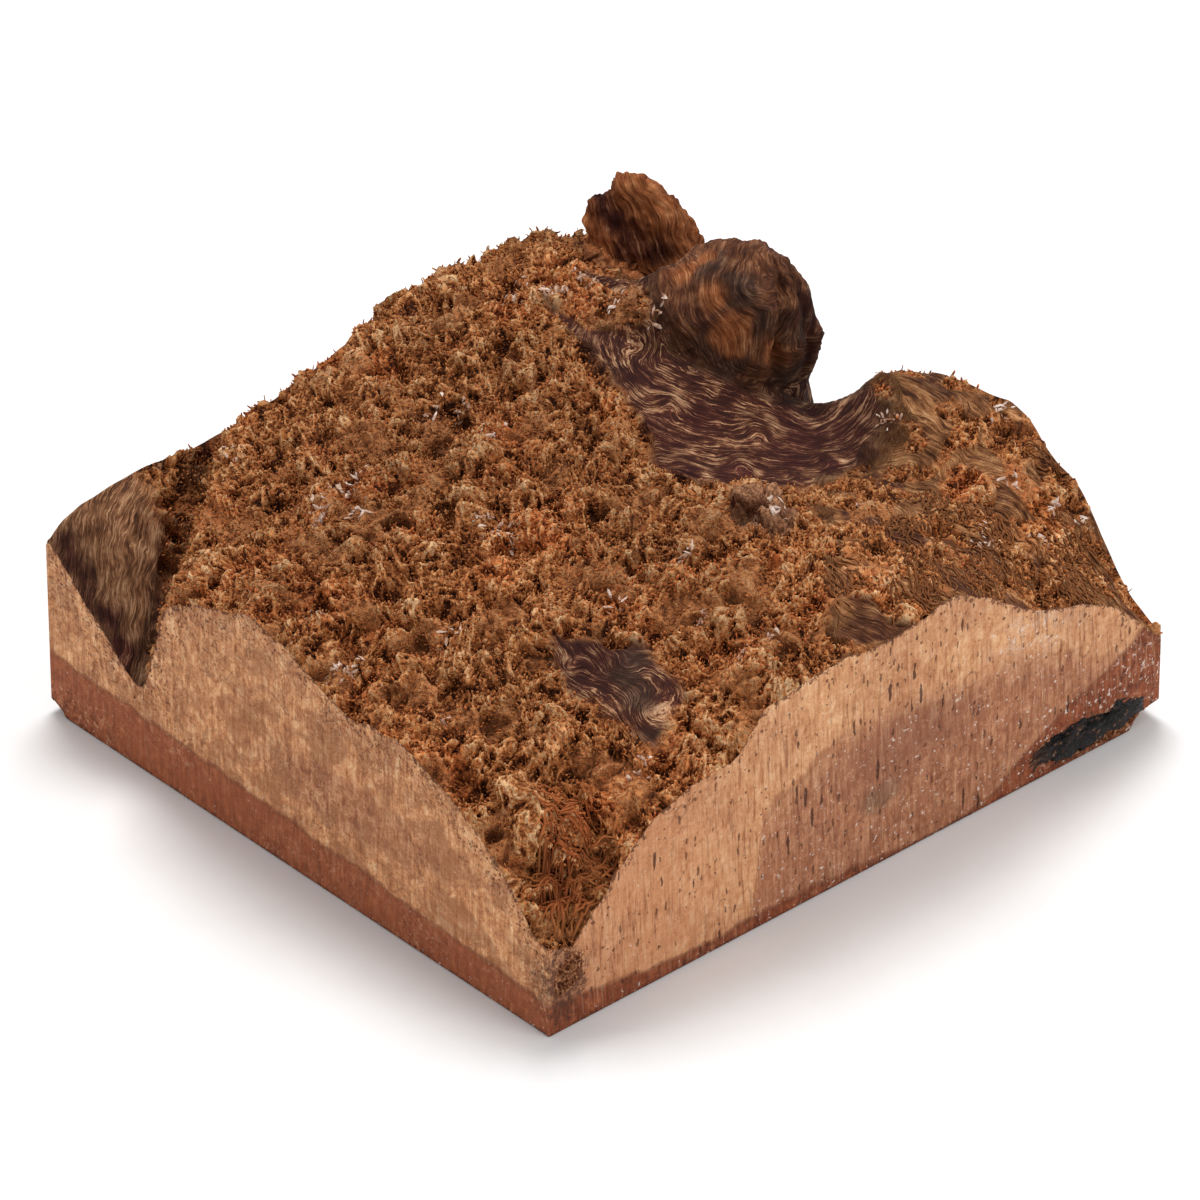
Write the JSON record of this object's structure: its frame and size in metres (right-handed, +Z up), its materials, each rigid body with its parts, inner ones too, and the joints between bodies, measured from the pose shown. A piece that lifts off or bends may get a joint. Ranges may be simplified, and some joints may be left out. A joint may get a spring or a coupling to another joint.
{
  "type": "coolibah burl",
  "caption": "Raw burl block with sawn sides and base, a natural pin-covered cap, a smooth valley, a rounded knob over a bay and a broken spur.",
  "frame": {"origin": "middle of the flat sawn base", "axes": "+X along the wide sawn face, +Y away from that face, +Z up through the natural cap"},
  "size_m": [0.4, 0.367, 0.1959],
  "materials": {
    "burl_wood": "raw, dry wood: rough brown pins over the cap, pale sawn sides with a dark red band at the base"
  },
  "bodies": {
    "root": {"burl": "burl_wood"}
  },
  "joints": []
}
